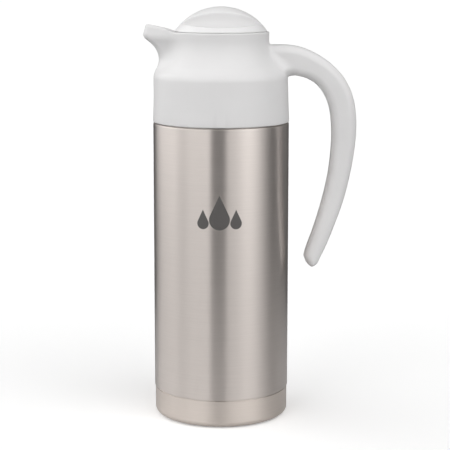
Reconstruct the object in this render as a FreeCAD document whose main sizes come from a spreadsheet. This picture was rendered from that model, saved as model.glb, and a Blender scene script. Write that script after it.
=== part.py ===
import FreeCAD, Part
import math
import os
import Sketcher

# Vacuum-insulated pouring carafe: steel double-wall vessel, plastic shoulder with spout and
# one-armed handle, and a twist-open insulated stopper.  Millimetres.  Z is the vessel axis,
# the spout points to -X and the handle to +X.  The origin is the centre of the base.

Vector = FreeCAD.Vector
doc = FreeCAD.newDocument("pouring_carafe")
sheet = doc.addObject("Spreadsheet::Sheet", "Sizes")


# ---------------------------------------------------------------- sizes with their formulas

class Size:
    """A number that keeps the spreadsheet formula that it comes from."""

    def __init__(self, formula, value):
        self.formula = formula
        self.value = value

    def joined(self, sign, other, value):
        return Size(f"({self.formula} {sign} {sized(other).formula})", value)

    def __add__(self, other):
        return self.joined("+", other, self.value + sized(other).value)

    def __sub__(self, other):
        return self.joined("-", other, self.value - sized(other).value)

    def __mul__(self, other):
        return self.joined("*", other, self.value * sized(other).value)

    def __truediv__(self, other):
        return self.joined("/", other, self.value / sized(other).value)


def sized(number):
    """Let plain numbers stand beside sizes."""
    if isinstance(number, Size):
        return number
    return Size(repr(float(number)), float(number))


def cell(alias, value, note):
    """Put one driving dimension on the sheet and return it as a Size."""
    row = cell.next_row
    cell.next_row += 1
    sheet.set(f"A{row}", alias)
    sheet.set(f"B{row}", repr(value))
    sheet.set(f"C{row}", note)
    sheet.setAlias(f"B{row}", alias)
    return Size(f"Sizes.{alias}", value)


cell.next_row = 1

# vessel
steel = cell("steel_wall", 0.5, "thickness of all drawn steel")
body_r = cell("body_radius", 52.2, "outer shell, outside")
cup_r = cell("cup_radius", 51.7, "bottom cup, outside")
cup_low = cell("cup_low", 0.8, "underside of the cup's foot ring")
cup_top = cell("cup_top", 21.3, "top edge of the bottom cup")
cup_round = cell("cup_round", 4.0, "rounding of the cup's bottom edge")
pad_r = cell("pad_radius", 40.0, "non-slip disc")
pad_high = cell("pad_thickness", 2.4, "non-slip disc")
recess_r = cell("recess_radius", 41.0, "recess in the cup that the disc sits in")
foot_r = cell("foot_radius", 42.5, "inner edge of the cup's foot ring")
jacket_low = cell("jacket_low", 8.0, "bottom edge of the outer shell")
seam_gap = cell("seam_gap", 0.4, "groove between the cup and the shell")
seam_slope = cell("seam_slope", 0.6, "height of the shell's turned-in edges")
skirt_gap = cell("skirt_gap", 0.3, "groove between the shell and the collar")
skirt_low = cell("skirt_low", 229.6, "bottom edge of the collar")
step_r = cell("step_radius", 50.0, "outer shell where the collar covers it")
shoulder_low = cell("shoulder_low", 243.0, "start of the shell's shoulder")
shoulder_high = cell("shoulder_high", 262.0, "end of the shell's shoulder")
shoulder_round = cell("shoulder_round", 12.0, "rounding at the start of the shoulder")
neck_round = cell("neck_round", 9.0, "rounding between shoulder and neck")
throat_round = cell("throat_round", 30.0, "hollow curve from the collar's slope to its neck")
bead_rise = cell("bead_rise", 0.9, "how far the neck's bead stands out")
bead_slope = cell("bead_slope", 0.8, "height of each side of the bead")
bead_flat = cell("bead_flat", 1.2, "height of the bead's top")
neck_r = cell("neck_radius", 33.0, "outer shell's neck, outside")
lip_z = cell("lip_height", 282.3, "top of the shell's neck")
liner_r = cell("liner_radius", 41.0, "inner liner, inside")
liner_low = cell("liner_low", 17.0, "inner floor of the vessel")
liner_weld = cell("liner_weld", 20.0, "weld between liner and liner bottom")
liner_bend = cell("liner_bend", 2.5, "rounding of the liner's floor, inside")
liner_shoulder = cell("liner_shoulder", 237.8, "start of the liner's shoulder")
liner_shoulder_round = cell("liner_shoulder_round", 13.5, "rounding there, inside")
liner_neck = cell("liner_neck", 258.0, "end of the liner's shoulder")
flare_low = cell("flare_low", 276.0, "start of the neck's flare")
bore_r = cell("bore_radius", 29.0, "neck bore that the stopper seals in")
flare_r = cell("flare_radius", 31.5, "mouth of the flared neck")
seal_floor = cell("seal_floor", 12.2, "underside of the jacket's bottom disc")
disc_round = cell("disc_rounding", 2.0, "rounding of that disc's edge")
dimple_z = cell("dimple_height", 11.0, "underside of the disc's middle dimple")
dimple_r = cell("dimple_radius", 12.0, "flat of the dimple")
dimple_slope = cell("dimple_slope", 3.0, "width of the dimple's sloping side")
vent_r = cell("vent_radius", 2.0, "hole that the air is drawn through")
plug_seal_r = cell("vent_seal_radius", 5.0, "brazed seal over that hole")
plug_seal_drop = cell("vent_seal_drop", 1.4, "how far the seal stands below the disc")
foil_wall = cell("foil_wall", 0.2, "radiation foil")
foil_top = cell("foil_top", 222.0, "upper edge of the foil")
foil_inset = cell("foil_inset", 2.0, "lower edge of the foil above the weld")
pellet_r = cell("pellet_radius", 4.0, "getter pellet")
pellet_high = cell("pellet_height", 1.6, "getter pellet")
pellet_x = cell("pellet_offset", 20.0, "pellet from the axis")
clip_wall = cell("clip_wall", 0.4, "pellet's strap")
clip_half = cell("clip_half_length", 7.0, "pellet's strap, end to middle")
clip_width = cell("clip_width", 4.0, "pellet's strap")

# collar
collar_wall = cell("collar_wall", 2.3, "moulded plastic")
collar_r = cell("collar_radius", 52.4, "collar at its bottom edge")
collar_fit = cell("collar_fit", 0.15, "clearance between collar and shell")
crown_r = cell("crown_radius", 51.05, "collar where the slope starts")
crown_z = cell("crown_height", 266.2, "collar where the slope starts")
throat_r = cell("throat_radius", 36.8, "collar's neck, outside")
throat_z = cell("throat_low", 280.8, "collar where the slope ends")
rim_z = cell("rim_height", 298.5, "collar's top rim")
flange_z = cell("flange_low", 283.8, "underside of the collar's inner flange")
flange_wall = cell("flange_wall", 2.2, "inner flange")
flange_r = cell("flange_radius", 31.8, "opening in the inner flange")
ring_z = cell("ring_low", 272.2, "underside of the retaining ring")
ring_wall = cell("ring_height", 2.2, "retaining ring")
ring_depth = cell("ring_depth", 1.3, "retaining ring, inside to outside")
hook_fit = cell("hook_fit", 0.4, "clearance between hooks and neck")
hook_drop = cell("hook_drop", 2.4, "how far the hooks reach below the ring")

# thread: right-handed, three starts
lead = cell("thread_lead", 12.0, "rise in one turn")
ridge_root = cell("ridge_root", 1.5, "ridge thickness at its root")
ridge_crest = cell("ridge_crest", 0.9, "ridge thickness at its crest")
ridge_z = cell("ridge_height", 287.1, "middle of each ridge where it starts")
collar_ridge_r = cell("collar_ridge_radius", 32.2, "crest of the collar's ridges")
plug_ridge_r = cell("plug_ridge_radius", 33.9, "crest of the stopper's ridges")

# stopper
plug_r = cell("plug_radius", 28.5, "stopper inside the neck bore")
plug_wall = cell("plug_wall", 1.6, "moulded plastic")
plug_low = cell("plug_low", 256.0, "lower edge of the stopper body")
plug_top = cell("plug_top", 298.9, "top of the stopper body's flange")
plug_thread_r = cell("plug_thread_radius", 30.5, "stopper body between the ridges")
plug_waist = cell("plug_waist", 278.0, "where the stopper body starts to widen")
plug_thread_z = cell("plug_thread_low", 284.5, "where it reaches the thread's width")
plug_flange_r = cell("plug_flange_radius", 34.2, "top flange of the stopper body")
plug_flange_z = cell("plug_flange_low", 296.5, "underside of that flange")
plug_floor = cell("plug_floor", 2.0, "height of the stopper's base")
upper_seal_z = cell("upper_seal_low", 294.2, "underside of the upper seal")
seal_lip = cell("seal_lip", 0.9, "height of half a sealing lip")
seal_low = cell("seal_low", 268.4, "lower side of the main seal's groove")
seal_high = cell("seal_high", 273.6, "upper side of the main seal's groove")
groove_r = cell("groove_radius", 26.9, "floor of the main seal's groove")
play = cell("running_play", 0.05, "clearance between parts that turn or slide")
dome_r = cell("dome_radius", 43.0, "cap's sphere, outside")
dome_z = cell("dome_centre", 274.5, "centre of the cap's sphere")
cap_wall = cell("cap_wall", 2.0, "moulded plastic")
spigot_low = cell("spigot_low", 294.0, "lower edge of the cap's spigot")
spigot_high = cell("spigot_high", 301.5, "upper edge of the cap's spigot")
grip_r = cell("grip_radius", 45.0, "plan radius of the finger grip's sides")
grip_half = cell("grip_half_width", 17.8, "half width of the finger grip at its middle")
scoop_z = cell("scoop_floor", 302.3, "floor of the finger recesses")

# handle
handle_width = cell("handle_width", 19.0, "across the handle")
handle_wall = cell("handle_wall", 2.4, "moulded plastic")
handle_round = cell("handle_round", 3.0, "rounding of the handle's long edges")
cover_gap = cell("cover_gap", 0.15, "gap between the handle and its cover strip")

# A sloping wall's inner corner lies this much further along than its outer one.
SLANT = 0.2

# Far enough out for a cutting tool to clear everything.
CLEAR = 20.0

doc.recompute()


# ---------------------------------------------------------------- sketch and feature helpers

def new_body(name):
    return doc.addObject("PartDesign::Body", name)


def origin_plane(body, role):
    for feature in body.Origin.OriginFeatures:
        if feature.Role == role:
            return feature
    raise RuntimeError(f"{body.Label} has no {role}")


def new_sketch(body, name, role, height=None):
    """Attach an empty sketch to one of the body's own planes, lifted by height."""
    sketch = body.newObject("Sketcher::SketchObject", name)
    sketch.AttachmentSupport = [(origin_plane(body, role), "")]
    sketch.MapMode = "FlatFace"
    if height is not None:
        sketch.AttachmentOffset = FreeCAD.Placement(
            Vector(0, 0, sized(height).value), FreeCAD.Rotation())
        sketch.setExpression("AttachmentOffset.Base.z", sized(height).formula)
    return sketch


def pin(sketch, geometry, position, x, y):
    """Hold one sketch point at the place that two sizes give."""
    for kind, axis, size in (("DistanceX", -2, sized(x)), ("DistanceY", -1, sized(y))):
        if size.value == 0:
            sketch.addConstraint(Sketcher.Constraint("PointOnObject", geometry, position, axis))
            continue
        number = sketch.addConstraint(
            Sketcher.Constraint(kind, geometry, position, size.value))
        sketch.setExpression(f"Constraints[{number}]", size.formula)


def draw_outline(sketch, corners):
    """Closed outline of straight runs.  A corner is (x, y), or (x, y, radius) if it is round."""
    points = [Vector(sized(c[0]).value, sized(c[1]).value, 0) for c in corners]
    count = len(corners)
    starts, ends, arcs = [], [], []
    for i, corner in enumerate(corners):
        if len(corner) == 2:
            starts.append(points[i])
            ends.append(points[i])
            arcs.append(None)
            continue
        radius = sized(corner[2]).value
        back = (points[i - 1] - points[i]).normalize()
        ahead = (points[(i + 1) % count] - points[i]).normalize()
        half = back.getAngle(ahead) / 2
        reach = radius / math.tan(half)
        first = points[i] + back * reach
        last = points[i] + ahead * reach
        centre = points[i] + (back + ahead).normalize() * (radius / math.sin(half))
        middle = centre + (points[i] - centre).normalize() * radius
        ends.append(first)
        starts.append(last)
        arcs.append(Part.Arc(first, middle, last))
    lines = [sketch.addGeometry(Part.LineSegment(starts[i], ends[(i + 1) % count]), False)
             for i in range(count)]
    for i, corner in enumerate(corners):
        before, after = lines[i - 1], lines[i]
        if arcs[i] is None:
            sketch.addConstraint(Sketcher.Constraint("Coincident", before, 2, after, 1))
            pin(sketch, after, 1, corner[0], corner[1])
            continue
        turned = (points[i] - points[i - 1]).cross(points[(i + 1) % count] - points[i]).z
        arc = sketch.addGeometry(arcs[i], False)
        near, far = (1, 2) if turned > 0 else (2, 1)
        sketch.addConstraint(Sketcher.Constraint("Tangent", before, 2, arc, near))
        sketch.addConstraint(Sketcher.Constraint("Tangent", arc, far, after, 1))
        number = sketch.addConstraint(
            Sketcher.Constraint("Radius", arc, sized(corner[2]).value))
        sketch.setExpression(f"Constraints[{number}]", sized(corner[2]).formula)
        apex = sketch.addGeometry(Part.Point(points[i]), True)
        sketch.addConstraint(Sketcher.Constraint("PointOnObject", apex, 1, before))
        sketch.addConstraint(Sketcher.Constraint("PointOnObject", apex, 1, after))
        pin(sketch, apex, 1, corner[0], corner[1])


def revolve(body, corners, angle=360.0, name="turned"):
    """Turn an outline of (radius, height) corners about the vessel axis."""
    sketch = new_sketch(body, f"{name}_outline", "XZ_Plane")
    draw_outline(sketch, corners)
    turned = body.newObject("PartDesign::Revolution", name)
    turned.Profile = sketch
    turned.ReferenceAxis = (sketch, ["V_Axis"])
    turned.Angle = angle
    return turned


def turned_part(label, corners, angle=360.0):
    body = new_body(label)
    revolve(body, corners, angle)
    return body


def polar(body, feature, count):
    """Repeat a feature evenly about the vessel axis."""
    pattern = body.newObject("PartDesign::PolarPattern", f"{feature.Name}_round")
    pattern.Originals = [feature]
    axis = [f for f in body.Origin.OriginFeatures if f.Role == "Z_Axis"][0]
    pattern.Axis = (axis, [""])
    pattern.Angle = 360.0
    pattern.Occurrences = count
    body.Tip = pattern
    return pattern


def thread_ridge(body, root_r, crest_r, start_angle, sweep):
    """One helical ridge, starting start_angle degrees round the axis."""
    sketch = new_sketch(body, "ridge_outline", "XZ_Plane")
    draw_outline(sketch, [
        (root_r, ridge_z - ridge_root / 2), (crest_r, ridge_z - ridge_crest / 2),
        (crest_r, ridge_z + ridge_crest / 2), (root_r, ridge_z + ridge_root / 2)])
    sketch.AttachmentOffset = FreeCAD.Placement(
        Vector(), FreeCAD.Rotation(Vector(0, 1, 0), start_angle))
    ridge = body.newObject("PartDesign::AdditiveHelix", "ridge")
    ridge.Profile = sketch
    ridge.ReferenceAxis = (sketch, ["V_Axis"])
    ridge.Mode = 0
    ridge.Pitch = lead.value
    ridge.setExpression("Pitch", lead.formula)
    ridge.Height = lead.value * sweep / 360
    ridge.setExpression("Height", f"{lead.formula} * {sweep} / 360")
    return ridge


# ---------------------------------------------------------------- vessel

def make_base_pad():
    return turned_part("base_pad", [
        (0, 0), (pad_r, 0, 0.6), (pad_r, pad_high), (0, pad_high)])


def make_base_cup():
    return turned_part("base_cup", [
        (0, pad_high), (recess_r, pad_high), (foot_r, cup_low),
        (cup_r, cup_low, cup_round), (cup_r, cup_top), (cup_r - steel, cup_top),
        (cup_r - steel, cup_low + steel, cup_round - steel),
        (foot_r + SLANT, cup_low + steel), (recess_r + SLANT, pad_high + steel),
        (0, pad_high + steel)])


def make_outer_shell():
    low_r = cup_r - steel
    edge_z = skirt_low - skirt_gap
    bead_r = neck_r + bead_rise
    bead_z = ring_z + ring_wall
    bead_top = bead_z + bead_slope + bead_flat
    return turned_part("outer_shell", [
        (low_r, jacket_low), (low_r, cup_top + seam_gap),
        (body_r, cup_top + seam_gap + seam_slope, steel),
        (body_r, edge_z - seam_slope), (step_r, edge_z),
        (step_r, shoulder_low, shoulder_round), (neck_r, shoulder_high, neck_round),
        (neck_r, bead_z), (bead_r, bead_z + bead_slope), (bead_r, bead_top),
        (neck_r, bead_top + bead_slope), (neck_r, lip_z), (neck_r - steel, lip_z),
        (neck_r - steel, bead_top + bead_slope - SLANT), (bead_r - steel, bead_top - SLANT),
        (bead_r - steel, bead_z + bead_slope + SLANT), (neck_r - steel, bead_z + SLANT),
        (neck_r - steel, shoulder_high - SLANT, neck_round + steel),
        (step_r - steel, shoulder_low - SLANT, shoulder_round - steel),
        (step_r - steel, edge_z - skirt_gap), (body_r - steel, edge_z - skirt_gap - seam_slope),
        (body_r - steel, cup_top + seam_gap * 2 + seam_slope),
        (low_r - steel, cup_top + seam_gap * 2), (low_r - steel, jacket_low)])


def make_inner_liner():
    wall_r = liner_r + steel
    return turned_part("inner_liner", [
        (wall_r, liner_weld), (wall_r, liner_shoulder + SLANT, liner_shoulder_round + steel),
        (bore_r + steel, liner_neck + SLANT, neck_round),
        (bore_r + steel, flare_low + SLANT), (flare_r + SLANT, lip_z), (neck_r, lip_z),
        (neck_r, lip_z + steel), (flare_r, lip_z + steel), (bore_r, flare_low),
        (bore_r, liner_neck, neck_round + steel),
        (liner_r, liner_shoulder, liner_shoulder_round), (liner_r, liner_weld)])


def make_liner_bottom():
    wall_r = liner_r + steel
    return turned_part("liner_bottom", [
        (0, liner_low - steel), (wall_r, liner_low - steel, liner_bend + steel),
        (wall_r, liner_weld), (liner_r, liner_weld), (liner_r, liner_low, liner_bend),
        (0, liner_low)])


def make_vacuum_bottom():
    """Bottom disc of the outer wall, with a dimple round the hole that the air left by."""
    wall_r = cup_r - steel * 2
    rise_r = dimple_r + dimple_slope
    return turned_part("vacuum_bottom", [
        (vent_r, dimple_z), (dimple_r, dimple_z), (rise_r, seal_floor),
        (wall_r - steel, seal_floor, disc_round), (wall_r - steel, jacket_low),
        (wall_r, jacket_low), (wall_r, seal_floor + steel, disc_round + steel),
        (rise_r - SLANT, seal_floor + steel),
        (dimple_r - SLANT, dimple_z + steel), (vent_r, dimple_z + steel)])


def make_vacuum_seal():
    low = dimple_z - plug_seal_drop
    return turned_part("vacuum_seal", [
        (0, low), (plug_seal_r - 0.4, low, 0.6), (plug_seal_r, dimple_z), (vent_r, dimple_z),
        (vent_r, dimple_z + steel), (0, dimple_z + steel)])


def make_radiation_foil():
    inner = liner_r + steel
    low = liner_weld + foil_inset
    return turned_part("radiation_foil", [
        (inner, low), (inner + foil_wall, low), (inner + foil_wall, foil_top),
        (inner, foil_top)])


def make_getter_pellet():
    pellet = doc.addObject("Part::Cylinder", "getter_pellet")
    pellet.setExpression("Radius", pellet_r.formula)
    pellet.setExpression("Height", pellet_high.formula)
    top = liner_low.value - steel.value
    pellet.Placement = FreeCAD.Placement(
        Vector(pellet_x.value, 0, top - pellet_high.value), FreeCAD.Rotation())
    return pellet


def make_getter_clip():
    """Spot-welded strap that holds the pellet under the liner."""
    body = new_body("getter_clip")
    top = liner_low - steel
    roof = top - pellet_high
    inside, outside = pellet_r, pellet_r + clip_wall
    sketch = new_sketch(body, "strap_outline", "XZ_Plane")
    draw_outline(sketch, [
        (pellet_x - clip_half, top - clip_wall), (pellet_x - outside, top - clip_wall),
        (pellet_x - outside, roof - clip_wall), (pellet_x + outside, roof - clip_wall),
        (pellet_x + outside, top - clip_wall), (pellet_x + clip_half, top - clip_wall),
        (pellet_x + clip_half, top), (pellet_x + inside, top), (pellet_x + inside, roof),
        (pellet_x - inside, roof), (pellet_x - inside, top), (pellet_x - clip_half, top)])
    strap = body.newObject("PartDesign::Pad", "strap")
    strap.Profile = sketch
    strap.setExpression("Length", clip_width.formula)
    strap.Midplane = True
    return body


def make_retaining_ring():
    """Split ring under the shell's neck bead: the collar's hooks catch it."""
    slit = 30.0
    outer = neck_r + ring_depth
    body = turned_part("retaining_ring", [
        (neck_r, ring_z), (outer, ring_z), (outer, ring_z + ring_wall),
        (neck_r, ring_z + ring_wall)], angle=360.0 - slit)
    body.Placement = FreeCAD.Placement(
        Vector(), FreeCAD.Rotation(Vector(0, 0, 1), slit / 2))
    return body


def make_neck_gasket():
    low = lip_z + steel
    outer = neck_r + bead_rise
    return turned_part("neck_gasket", [
        (flange_r, low), (outer, low), (outer, flange_z), (flange_r, flange_z)])


# ---------------------------------------------------------------- shoulder collar with spout

# Three ridges run inside the collar and three short ones ride on the stopper: degrees round
# the axis where the first of each starts, and how far it runs.
RIDGES = 3
COLLAR_RIDGE_START, COLLAR_RIDGE_SWEEP = 210.0, 150.0
PLUG_RIDGE_START, PLUG_RIDGE_SWEEP = 270.0, 50.0

SPOUT_WALL = 1.8

# The beak's neck circle is this much smaller than the throat, so the two never coincide.
BEAK_SINK = 0.02

# Keel of the beak: height, how far it reaches from the axis, and its nose radius in plan.
SPOUT_SECTIONS = (
    (258.0, 49.0, 15.0),
    (266.0, 48.6, 14.0),
    (273.0, 47.5, 13.0),
    (279.0, 47.6, 12.0),
    (285.0, 49.5, 10.5),
    (290.0, 53.2, 9.3),
    (294.5, 58.4, 8.2),
    (299.0, 58.7, 7.8),
    (307.0, 57.6, 7.6),
)


def teardrop(body, name, height, big_r, reach, nose_r):
    """Plan section of the beak: a neck circle, a nose circle and their two tangents."""
    sketch = new_sketch(body, name, "XY_Plane", height)
    centre = Vector(-(reach - nose_r), 0, 0)
    spread = math.acos((big_r - nose_r) / (reach - nose_r))
    arc_big = Part.ArcOfCircle(
        Part.Circle(Vector(), Vector(0, 0, 1), big_r), -(math.pi - spread), math.pi - spread)
    arc_nose = Part.ArcOfCircle(
        Part.Circle(centre, Vector(0, 0, 1), nose_r), math.pi - spread, math.pi + spread)
    upper = Part.LineSegment(arc_big.EndPoint, arc_nose.StartPoint)
    lower = Part.LineSegment(arc_nose.EndPoint, arc_big.StartPoint)
    for edge in (arc_big, upper, arc_nose, lower):
        sketch.addGeometry(edge, False)
    for first, second in ((0, 1), (1, 2), (2, 3), (3, 0)):
        sketch.addConstraint(Sketcher.Constraint("Tangent", first, 2, second, 1))
    pin(sketch, 0, 3, 0, 0)
    pin(sketch, 2, 3, nose_r - reach, 0)
    sketch.addConstraint(Sketcher.Constraint("Radius", 0, big_r))
    sketch.addConstraint(Sketcher.Constraint("Radius", 2, nose_r))
    return sketch


def make_beak(name, inset, low):
    """Loft of the beak, or of its inside when inset is the wall thickness."""
    body = new_body(name)
    sections = [
        teardrop(body, f"{name}_{number}", height, throat_r.value - inset - BEAK_SINK,
                 reach - inset, nose_r - inset)
        for number, (height, reach, nose_r) in enumerate(SPOUT_SECTIONS) if height >= low]
    beak = body.newObject("PartDesign::AdditiveLoft", f"{name}_loft")
    beak.Profile = sections[0]
    beak.Sections = sections[1:]
    beak.Ruled = False
    return body


def side_cut(name, corners, width):
    """Prism across the vessel, drawn from the side."""
    body = new_body(name)
    sketch = new_sketch(body, f"{name}_outline", "XZ_Plane")
    draw_outline(sketch, corners)
    prism = body.newObject("PartDesign::Pad", f"{name}_prism")
    prism.Profile = sketch
    prism.Length = sized(width).value
    prism.Midplane = True
    return body


# Beak seen from the side: the trough's floor from the window out to the lip, the notch that
# opens the lip, and the free edge from the tip back to the collar's rim.
TROUGH_X, TROUGH_Z = -30.0, 286.2
THROAT_FLOOR_Z = 286.6
LIP_X, LIP_Z = -59.0, 297.2
TROUGH_LOW = 273.0
NOTCH = ((-56.0, 295.8), (-50.0, 297.0))
NOTCH_WIDTH = 11.0
TIP_Z = 304.1
TIP_START, TIP_END, TIP_ROUND = -62.0, -55.0, 6.0
EDGE_X = -36.2

# Window in the throat wall that the drink flows through.
WINDOW_X = (-40.0, -28.0)
WINDOW_TOP = 293.3
WINDOW_WIDTH = 25.0

# Handle seen from the side: its outer edge down from the throat, and its inner edge back up.
HANDLE_OUTER = ((34.0, 288.5), (52.0, 288.3), (62.0, 286.4), (73.0, 281.6), (84.0, 274.3),
                (94.4, 263.2), (101.1, 249.0), (104.0, 229.0), (101.9, 201.5), (95.0, 169.0),
                (85.8, 142.8), (81.0, 131.0), (77.2, 123.0))
HANDLE_INNER = ((64.4, 124.5), (66.1, 131.0), (70.4, 142.9), (78.0, 168.2), (83.2, 193.6),
                (85.0, 222.0), (82.2, 243.3), (74.6, 256.6), (65.6, 262.9), (56.8, 265.2))
HANDLE_ROOT = (40.0, 266.0)
HANDLE_TIP = ((75.2, 118.6), (70.9, 115.8), (66.3, 119.6), (64.4, 121.8))


def flat(points):
    return [Vector(x, z, 0) for x, z in points]


def smooth(points):
    curve = Part.BSplineCurve()
    curve.interpolate(flat(points))
    return curve


def beside(points, distance):
    """The same run of points, moved to its left by distance."""
    moved = []
    for i, (x, z) in enumerate(points):
        before = points[max(i - 1, 0)]
        after = points[min(i + 1, len(points) - 1)]
        along = Vector(after[0] - before[0], after[1] - before[1], 0).normalize()
        moved.append((x - along.y * distance, z + along.x * distance))
    return moved


def pad_between(name, edges, width):
    """Closed side outline padded to both sides of the middle plane."""
    body = new_body(name)
    sketch = new_sketch(body, f"{name}_outline", "XZ_Plane")
    for edge in edges:
        sketch.addGeometry(edge, False)
    for i in range(len(edges)):
        sketch.addConstraint(
            Sketcher.Constraint("Coincident", i, 2, (i + 1) % len(edges), 1))
    pad = body.newObject("PartDesign::Pad", f"{name}_pad")
    pad.Profile = sketch
    pad.Length = sized(width).value
    pad.setExpression("Length", sized(width).formula)
    pad.Midplane = True
    return body


def make_handle_solid():
    outer, inner = flat(HANDLE_OUTER), flat(HANDLE_INNER)
    tip = flat(HANDLE_TIP)
    root = flat([HANDLE_ROOT])[0]
    edges = [smooth(HANDLE_OUTER[::-1]), Part.LineSegment(outer[0], root),
             Part.LineSegment(root, inner[-1]), smooth(HANDLE_INNER[::-1]),
             Part.Arc(inner[0], tip[3], tip[2]), Part.LineSegment(tip[2], tip[1]),
             Part.Arc(tip[1], tip[0], outer[-1])]
    return pad_between("handle_solid", edges, handle_width)


def strip_edges(inner_edge, outer_edge):
    return [smooth(inner_edge), Part.LineSegment(flat(inner_edge)[-1], flat(outer_edge)[-1]),
            smooth(outer_edge[::-1]), Part.LineSegment(flat(outer_edge)[0], flat(inner_edge)[0])]


def make_handle_channel():
    """Hollow of the handle, open on the side that faces the vessel."""
    wall = handle_wall.value
    near = beside(HANDLE_INNER[1:-1], wall * 0.5)
    far = beside(HANDLE_OUTER[3:-1], -wall)[::-1]
    return pad_between("handle_channel", strip_edges(near, far),
                       handle_width - handle_wall * 2)


def make_handle_cover(channel):
    """Strip that closes the handle's hollow, ending where the hollow ends."""
    inner = HANDLE_INNER[1:-1]
    outer = beside(inner, -handle_wall.value)
    strip = pad_between("cover_strip", strip_edges(inner, outer),
                        handle_width - handle_wall * 2 - cover_gap * 2)
    cover = doc.addObject("Part::Common", "handle_cover")
    cover.Base = strip
    cover.Tool = channel
    return cover


def make_collar_solid():
    """The collar's outer form, filled."""
    return turned_part("collar_solid", [
        (0, skirt_low), (collar_r, skirt_low, 0.5), (crown_r, crown_z, neck_round),
        (throat_r, throat_z, throat_round), (throat_r, rim_z, 1), (0, rim_z)])


def make_collar_hollow():
    """Everything inside the collar's wall, with the inner flange left standing."""
    fit_r = step_r + collar_fit
    slope_r = crown_r - collar_wall + collar_fit * 2
    bore = throat_r - collar_wall
    below, above = skirt_low - CLEAR, rim_z + CLEAR
    return turned_part("collar_hollow", [
        (0, below), (fit_r, below), (fit_r, shoulder_low + 2), (slope_r, crown_z - 1.1, 6),
        (bore, throat_z - 0.8, 8), (bore, flange_z), (flange_r, flange_z),
        (flange_r, flange_z + flange_wall), (bore, flange_z + flange_wall), (bore, above),
        (0, above)])


def make_collar_hooks():
    """Four snap fingers that catch the retaining ring from below."""
    hook_angle = 24.0
    first_hook = 45.0 - hook_angle / 2
    body = new_body("collar_hooks")
    bore = throat_r - collar_wall
    root_z = throat_z + 1
    low = ring_z - hook_drop
    hook = revolve(body, [
        (bore, root_z), (bore, ring_z), (neck_r + hook_fit, ring_z),
        (neck_r + hook_fit, ring_z - hook_fit * 2), (bore, low), (bore + 2, low),
        (bore + 2, root_z)], angle=hook_angle, name="hook")
    polar(body, hook, 4)
    body.Placement = FreeCAD.Placement(
        Vector(), FreeCAD.Rotation(Vector(0, 0, 1), first_hook))
    return body


def make_collar_thread():
    """Band inside the collar's neck wall that carries three long ridges."""
    body = new_body("collar_thread")
    bore = throat_r - collar_wall
    band = bore + collar_wall * 0.65
    low, high = flange_z + 1, spigot_low
    revolve(body, [(bore, low), (band, low), (band, high), (bore, high)], name="band")
    ridge = thread_ridge(body, bore + 0.5, collar_ridge_r, COLLAR_RIDGE_START, COLLAR_RIDGE_SWEEP)
    polar(body, ridge, RIDGES)
    return body


def cylinder(name, radius, low, height, x=0.0, y=0.0):
    part = doc.addObject("Part::Cylinder", name)
    part.setExpression("Radius", sized(radius).formula)
    part.Height = height
    part.Placement = FreeCAD.Placement(Vector(x, y, sized(low).value), FreeCAD.Rotation())
    return part


def make_trough():
    """Inside of the beak above its floor, from the throat wall out."""
    far = LIP_X - CLEAR
    inside = doc.addObject("Part::Cut", "trough")
    inside.Base = make_beak("beak_inside", SPOUT_WALL, TROUGH_LOW)
    inside.Tool = side_cut("trough_floor", [
        (far, shoulder_low), (body_r, shoulder_low), (body_r, rim_z + CLEAR),
        (TROUGH_X, rim_z + CLEAR), (TROUGH_X, TROUGH_Z), (throat_r * -1, THROAT_FLOOR_Z),
        (LIP_X, LIP_Z), (far, LIP_Z)], body_r * 3)
    opened = doc.addObject("Part::Cut", "open_trough")
    opened.Base = inside
    opened.Tool = cylinder("throat_wall", throat_r, shoulder_high, 60.0)
    return opened


def make_shoulder_collar(channel):
    """Collar, beak and handle are one moulding."""
    outside = doc.addObject("Part::MultiFuse", "collar_outside")
    outside.Shapes = [make_collar_solid(), make_beak("beak", 0.0, 0.0), make_handle_solid()]
    hollowed = doc.addObject("Part::Cut", "collar_hollowed")
    hollowed.Base = outside
    hollowed.Tool = make_collar_hollow()
    fitted = doc.addObject("Part::MultiFuse", "collar_fitted")
    fitted.Shapes = [hollowed, make_collar_thread(), make_collar_hooks()]
    far, above = LIP_X - CLEAR, rim_z + CLEAR
    (notch_x, notch_z), (notch_back_x, notch_back_z) = NOTCH
    notch = side_cut("beak_notch", [
        (far, LIP_Z), (LIP_X, LIP_Z), (notch_x, notch_z), (notch_back_x, notch_back_z),
        (notch_back_x, above), (far, above)], NOTCH_WIDTH)
    outer_x, inner_x = WINDOW_X
    window_low = flange_z + flange_wall
    window = side_cut("window", [
        (outer_x, window_low), (inner_x, window_low), (inner_x, WINDOW_TOP),
        (outer_x, WINDOW_TOP)], WINDOW_WIDTH)
    above_rim = side_cut("above_rim", [
        (TIP_START, TIP_Z), (TIP_END, TIP_Z, TIP_ROUND), (EDGE_X, rim_z), (throat_r + 3, rim_z),
        (throat_r + 3, above), (TIP_START, above)], body_r * 3)
    cuts = doc.addObject("Part::MultiFuse", "collar_cuts")
    cuts.Shapes = [make_trough(), notch, window, above_rim, channel]
    collar = doc.addObject("Part::Cut", "shoulder_collar")
    collar.Base = fitted
    collar.Tool = cuts
    return collar


# ---------------------------------------------------------------- stopper

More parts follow.
